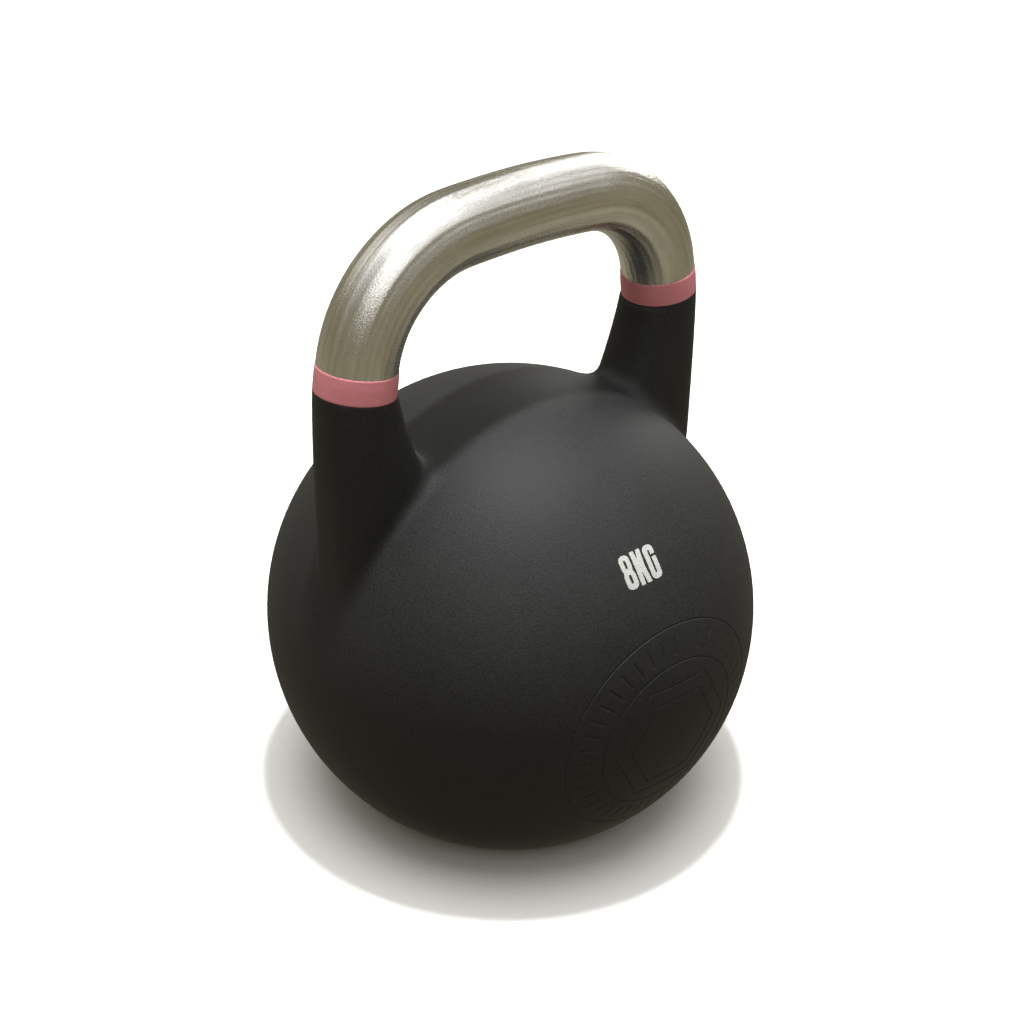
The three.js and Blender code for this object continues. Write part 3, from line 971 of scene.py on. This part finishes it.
REPLACED = ("ball_shell", "grip_handle", "left_colour_band", "right_colour_band")
SLOTS = {part["node"]: part["material_slot"] for part in frame["record"]["subparts"]}
for node_name, node_obj in frame["nodes"].items():
    if node_name not in REPLACED:
        for i in range(len(node_obj.material_slots)):
            node_obj.material_slots[i].material = LOOKS[SLOTS[node_name]]


# ---------- stage, lights and camera ----------
def build_floor():
    radius, level, sides = 9000.0, -0.05, 64
    points = [(0, 0, level)]
    for a in np.linspace(0, 2 * math.pi, sides, endpoint=False):
        points.append((radius * math.cos(a), radius * math.sin(a), level))
    faces = [(0, i + 1, (i + 1) % sides + 1) for i in range(sides)]
    obj = link("floor", points, faces)
    n = Nodes("floor_look")
    n.set(Base_Color=(0.80, 0.79, 0.77, 1), Roughness=0.75, Specular_IOR_Level=0.2)
    dress(obj, n.material)
    obj.visible_diffuse = False      # the bell stands well clear of anything that lights it from below
    obj.visible_glossy = False


def aim(obj, target):
    way = Vector(target) - obj.location
    obj.rotation_mode = "QUATERNION"
    obj.rotation_quaternion = way.to_track_quat("-Z", "Y")


def area_light(name, place, target, size, power, colour=(1, 1, 1)):
    data = bpy.data.lights.new(name, "AREA")
    data.shape = "DISK"
    data.size = size
    data.energy = power
    data.color = colour
    obj = bpy.data.objects.new(name, data)
    bpy.context.scene.collection.objects.link(obj)
    obj.location = place
    aim(obj, target)
    return obj


CEILING_LEAN = math.radians(10)      # the bright ceiling leans to the front


def build_world():
    """A warm grey room with a bright ceiling.

    Past the edge of the floor the camera sees a plain pale wall.
    """
    world = bpy.data.worlds.new("studio")
    bpy.context.scene.world = world
    world.use_nodes = True
    tree = world.node_tree
    background = tree.nodes["Background"]
    coordinate = tree.nodes.new("ShaderNodeTexCoord")
    lean = tree.nodes.new("ShaderNodeVectorMath")
    lean.operation = "DOT_PRODUCT"
    lean.inputs[1].default_value = (0, -math.sin(CEILING_LEAN), math.cos(CEILING_LEAN))
    ramp = tree.nodes.new("ShaderNodeValToRGB")
    tree.links.new(coordinate.outputs["Generated"], lean.inputs[0])
    half = tree.nodes.new("ShaderNodeMath")
    half.operation = "MULTIPLY_ADD"
    half.inputs[1].default_value = 0.5
    half.inputs[2].default_value = 0.5
    tree.links.new(lean.outputs["Value"], half.inputs[0])
    tree.links.new(half.outputs[0], ramp.inputs["Fac"])
    tree.links.new(ramp.outputs["Color"], background.inputs["Color"])
    stops = [(0.0, (0.10, 0.09, 0.065)), (0.08, (0.36, 0.33, 0.24)), (0.22, (0.36, 0.335, 0.245))]
    stops += [(0.45, (0.215, 0.185, 0.115)), (0.6, (0.25, 0.225, 0.155)), (0.73, (0.29, 0.265, 0.205))]
    stops += [(0.80, (0.36, 0.34, 0.29)), (0.86, (0.52, 0.51, 0.47)), (0.90, (1.0, 1.0, 1.0))]
    elements = ramp.color_ramp.elements
    while len(elements) < len(stops):
        elements.new(0.5)
    for element, (place, colour) in zip(elements, stops):
        element.position = place
        element.color = (*colour, 1)
    background.inputs["Strength"].default_value = 1.0
    pale = tree.nodes.new("ShaderNodeBackground")
    pale.inputs["Color"].default_value = (0.90, 0.895, 0.88, 1)
    seen = tree.nodes.new("ShaderNodeLightPath").outputs["Is Camera Ray"]
    mix = tree.nodes.new("ShaderNodeMixShader")
    tree.links.new(seen, mix.inputs[0])
    tree.links.new(background.outputs[0], mix.inputs[1])
    tree.links.new(pale.outputs[0], mix.inputs[2])
    tree.links.new(mix.outputs[0], tree.nodes["World Output"].inputs["Surface"])


CAMERA_AZ = math.radians(-41.74)
CAMERA_EL = math.radians(32.35)
CAMERA_ROLL = math.radians(1.26)
CAMERA_LENS = 64.44
CAMERA_DISTANCE = 0.799              # metres from the ball's middle
CAMERA_TARGET = (-0.0003, 0, (BALL_Z + 49.7) * MM)


def build_camera():
    """Looks down on the bell from its front left."""
    data = bpy.data.cameras.new("camera")
    data.lens = CAMERA_LENS
    data.sensor_width = 36
    data.clip_start, data.clip_end = 0.01, 50
    obj = bpy.data.objects.new("camera", data)
    bpy.context.scene.collection.objects.link(obj)
    bpy.context.scene.camera = obj
    back = Vector((
        math.sin(CAMERA_AZ) * math.cos(CAMERA_EL),
        -math.cos(CAMERA_AZ) * math.cos(CAMERA_EL),
        math.sin(CAMERA_EL),
    ))
    obj.location = Vector((0, 0, BALL_Z * MM)) + back * CAMERA_DISTANCE
    aim(obj, CAMERA_TARGET)
    roll = Matrix.Rotation(CAMERA_ROLL, 4, "Z")
    obj.rotation_quaternion = (obj.rotation_quaternion.to_matrix().to_4x4() @ roll).to_quaternion()


def build_lights():
    """A small key overhead, soft light from above and behind, and cards that only reflections show."""
    area_light("key", (0.04, -0.02, 2.1), (0, 0, 0.15), 0.14, 40, (0.98, 0.985, 0.98))
    area_light("dome", (0, 0, 1.9), (0, 0, 0), 1.9, 36).visible_glossy = False
    area_light("back", (-0.6, 1.8, 1.7), (0, 0, 0.15), 1.6, 4, (1.0, 0.98, 0.96))
    for name, place, size, power in (
        ("card_right", (1.35, -1.10, 1.65), 0.6, 1.0),
        ("card_left", (-1.15, -1.20, 1.75), 1.0, 5.5),
        ("card_side", (1.90, 0.85, 1.00), 1.1, 18.0),
    ):
        area_light(name, place, (0, 0, 0.2), size, power).visible_diffuse = False


bpy.context.scene.view_settings.view_transform = "Standard"
build_floor()
build_world()
build_camera()
build_lights()
